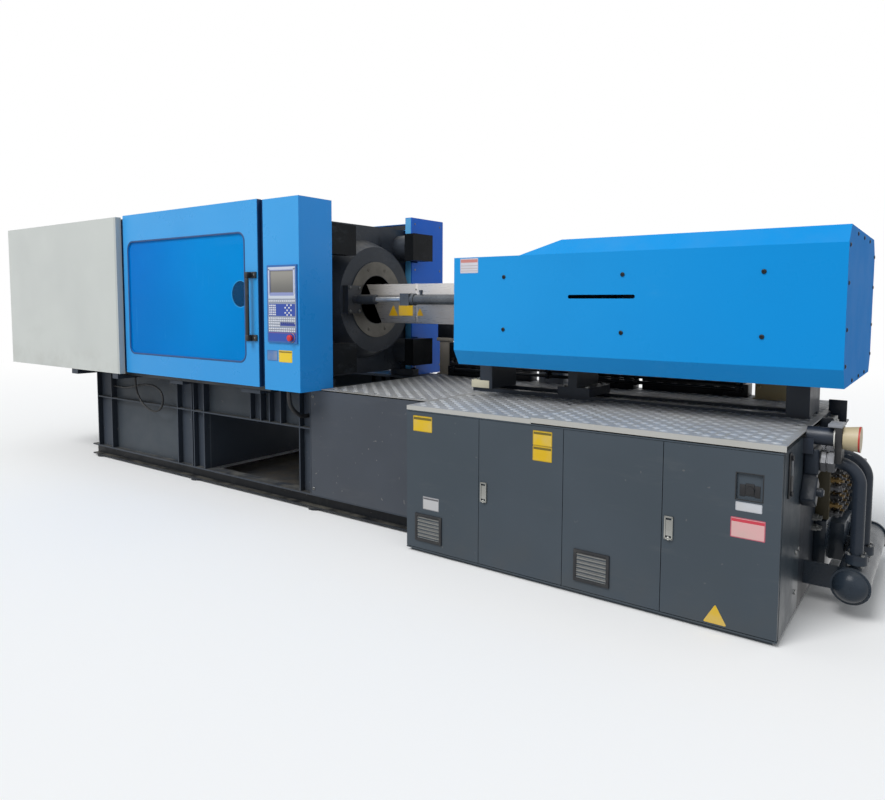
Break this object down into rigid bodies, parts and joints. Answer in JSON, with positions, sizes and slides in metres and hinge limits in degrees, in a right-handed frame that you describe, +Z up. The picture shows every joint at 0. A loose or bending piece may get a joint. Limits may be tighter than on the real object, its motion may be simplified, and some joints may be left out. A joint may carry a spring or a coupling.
{
  "type": "horizontal injection moulding machine",
  "caption": "Horizontal injection moulding machine with a toggle clamp behind sliding doors, an injection unit on a carriage, an operator column and a power cabinet.",
  "frame": {"origin": "on the floor, under the middle of the machine's bounding box", "axes": "+X from the clamp end to the injection end, the operator stands at -Y, +Z up"},
  "size_m": [7.04, 1.846, 2.064],
  "materials": {
    "frame_paint": "satin, worn",
    "grey_panel_paint": "satin",
    "cabinet_paint": "satin",
    "white_cover_paint": "satin",
    "door_blue_paint": "gloss",
    "azure_paint": "gloss",
    "deep_blue_paint": "satin",
    "charcoal_casting": "painted, satin",
    "link_casting": "painted, satin",
    "machined_steel": "machined",
    "hard_chrome": "polished",
    "stainless_sheet": "brushed, dusty",
    "tread_plate": "worn five-bar plate",
    "window_film": "blue film on clear sheet",
    "panel_face": "matte",
    "stop_red": "gloss",
    "button_green": "gloss",
    "switchgear_grey": "matte",
    "cable_black": "matte",
    "cooler_paint": "satin",
    "filter_paint": "satin"
  },
  "bodies": {
    "machine_base": {"bed_frame": "frame_paint", "bed_side_panels": "grey_panel_paint", "power_cabinet": "cabinet_paint", "switchgear": "switchgear_grey", "tread_plates": "tread_plate", "fixed_platen": "charcoal_casting", "tie_bars": "machined_steel", "tie_bar_caps": "charcoal_casting", "clamp_cover_front": "white_cover_paint", "clamp_cover_rear": "white_cover_paint", "clamp_cover_roof": "white_cover_paint", "door_rails": "machined_steel", "operator_column": "door_blue_paint", "rear_column": "deep_blue_paint", "control_panel": "panel_face", "carriage_rods": "hard_chrome", "carriage_supports": "frame_paint", "oil_cooler": "cooler_paint", "cooler_pipes": "cooler_paint", "filter_unit": "filter_paint", "cable_loop": "cable_black", "column_conduit": "cable_black"},
    "tail_assembly": {"tail_platen": "charcoal_casting", "tail_nuts": "machined_steel", "tail_pins": "machined_steel", "clamp_cylinder": "link_casting", "crosshead_guides": "hard_chrome"},
    "rear_upper_arm": {"rear_link_upper": "link_casting", "upper_link_pins": "machined_steel"},
    "rear_lower_arm": {"rear_link_lower": "link_casting", "lower_link_pins": "machined_steel"},
    "front_upper_arm": {"front_link_upper": "link_casting"},
    "front_lower_arm": {"front_link_lower": "link_casting"},
    "platen_assembly": {"moving_platen": "charcoal_casting", "platen_pins": "machined_steel", "ejector_cylinder": "link_casting"},
    "ejector": {"ejector_plate": "machined_steel"},
    "crosshead_slider": {"crosshead": "link_casting"},
    "cross_arm_upper": {"crosshead_link_upper": "link_casting"},
    "cross_arm_lower": {"crosshead_link_lower": "link_casting"},
    "carriage": {"injection_housing": "frame_paint", "barrel": "machined_steel", "barrel_shield": "stainless_sheet", "carriage_cylinders": "frame_paint", "injection_cover": "azure_paint"},
    "ram_slider": {"injection_ram": "link_casting"},
    "screw_shaft": {"screw": "machined_steel"},
    "front_door_group": {"front_door": "door_blue_paint", "front_window": "window_film", "door_handle": "hard_chrome"},
    "rear_door_group": {"rear_door": "door_blue_paint", "rear_window": "window_film"},
    "leaf_body_1": {"leaf_1": "cabinet_paint"},
    "leaf_body_2": {"leaf_2": "cabinet_paint"},
    "leaf_body_3": {"leaf_3": "cabinet_paint"},
    "leaf_body_4": {"leaf_4": "cabinet_paint"},
    "lever_body_1": {"latch_lever_1": "hard_chrome"},
    "lever_body_2": {"latch_lever_2": "hard_chrome"},
    "green_button_body": {"green_button": "button_green"},
    "estop_body": {"estop_button": "stop_red"}
  },
  "joints": [
    {"name": "mould_height", "type": "slide", "parent": "machine_base", "child": "tail_assembly", "axis": [1, 0, 0], "range_m": [-0.15, 0.3]},
    {"name": "toggle_fold", "type": "hinge", "parent": "tail_assembly", "child": "rear_upper_arm", "pos_m": [-1.771, 0, 1.89], "axis": [0, 1, 0], "range_deg": [-48.5, 0]},
    {"name": "front_upper_turn", "type": "hinge", "parent": "rear_upper_arm", "child": "front_upper_arm", "pos_m": [-1.63869, 0, 1.47036], "axis": [0, 1, 0], "range_deg": [0, 97]},
    {"name": "platen_turn", "type": "hinge", "parent": "front_upper_arm", "child": "platen_assembly", "pos_m": [-1.50638, 0, 1.89], "axis": [0, 1, 0], "range_deg": [-48.5, 0]},
    {"name": "ejector_stroke", "type": "slide", "parent": "platen_assembly", "child": "ejector", "axis": [1, 0, 0], "range_m": [0, 0.16]},
    {"name": "rear_lower_turn", "type": "hinge", "parent": "tail_assembly", "child": "rear_lower_arm", "pos_m": [-1.771, 0, 0.93], "axis": [0, 1, 0], "range_deg": [0, 48.5]},
    {"name": "front_lower_turn", "type": "hinge", "parent": "rear_lower_arm", "child": "front_lower_arm", "pos_m": [-1.63869, 0, 1.34963], "axis": [0, 1, 0], "range_deg": [-97, 0]},
    {"name": "crosshead_stroke", "type": "slide", "parent": "tail_assembly", "child": "crosshead_slider", "axis": [1, 0, 0], "range_m": [0, 0.181]},
    {"name": "cross_upper_turn", "type": "hinge", "parent": "crosshead_slider", "child": "cross_arm_upper", "pos_m": [-2.024, 0, 1.535], "axis": [0, 1, 0], "range_deg": [-5.97, 0]},
    {"name": "cross_lower_turn", "type": "hinge", "parent": "crosshead_slider", "child": "cross_arm_lower", "pos_m": [-2.024, 0, 1.285], "axis": [0, 1, 0], "range_deg": [0, 5.97]},
    {"name": "carriage_stroke", "type": "slide", "parent": "machine_base", "child": "carriage", "axis": [1, 0, 0], "range_m": [0, 0.4]},
    {"name": "injection_stroke", "type": "slide", "parent": "carriage", "child": "ram_slider", "axis": [1, 0, 0], "range_m": [0, 0.28]},
    {"name": "screw_turn", "type": "hinge", "parent": "ram_slider", "child": "screw_shaft", "pos_m": [2.35, 0, 1.41], "axis": [1, 0, 0], "continuous": true},
    {"name": "front_door_slide", "type": "slide", "parent": "machine_base", "child": "front_door_group", "axis": [-1, 0, 0], "range_m": [0, 1.15]},
    {"name": "rear_door_slide", "type": "slide", "parent": "machine_base", "child": "rear_door_group", "axis": [-1, 0, 0], "range_m": [0, 1.15]},
    {"name": "leaf_1_hinge", "type": "hinge", "parent": "machine_base", "child": "leaf_body_1", "pos_m": [1.3205, -0.898, 0.409], "axis": [0, 0, -1], "range_deg": [0, 110]},
    {"name": "leaf_2_hinge", "type": "hinge", "parent": "machine_base", "child": "leaf_body_2", "pos_m": [2.2635, -0.898, 0.409], "axis": [0, 0, 1], "range_deg": [0, 85]},
    {"name": "leaf_3_hinge", "type": "hinge", "parent": "machine_base", "child": "leaf_body_3", "pos_m": [2.2825, -0.898, 0.409], "axis": [0, 0, -1], "range_deg": [0, 85]},
    {"name": "leaf_4_hinge", "type": "hinge", "parent": "machine_base", "child": "leaf_body_4", "pos_m": [3.2255, -0.898, 0.409], "axis": [0, 0, 1], "range_deg": [0, 110]},
    {"name": "lever_1_hinge", "type": "hinge", "parent": "leaf_body_2", "child": "lever_body_1", "pos_m": [1.8245, -0.9065, 0.446], "axis": [-1, 0, 0], "range_deg": [0, 60]},
    {"name": "lever_2_hinge", "type": "hinge", "parent": "leaf_body_4", "child": "lever_body_2", "pos_m": [2.7865, -0.9065, 0.446], "axis": [-1, 0, 0], "range_deg": [0, 60]},
    {"name": "green_button_push", "type": "slide", "parent": "leaf_body_4", "child": "green_button_body", "axis": [0, 1, 0], "range_m": [0, 0.004], "stiffness_N_per_m": 300},
    {"name": "estop_push", "type": "slide", "parent": "machine_base", "child": "estop_body", "axis": [0, 1, 0], "range_m": [0, 0.005], "stiffness_N_per_m": 800}
  ],
  "couplings": [
    {"joint": "front_upper_turn", "follows": "toggle_fold", "ratio": -2},
    {"joint": "platen_turn", "follows": "toggle_fold", "ratio": 1},
    {"joint": "rear_lower_turn", "follows": "toggle_fold", "ratio": -1},
    {"joint": "front_lower_turn", "follows": "toggle_fold", "ratio": 2},
    {"joint": "crosshead_stroke", "follows": "toggle_fold", "m_per_rad": -0.213},
    {"joint": "cross_upper_turn", "follows": "toggle_fold", "ratio": 0.123},
    {"joint": "cross_lower_turn", "follows": "toggle_fold", "ratio": -0.123}
  ]
}
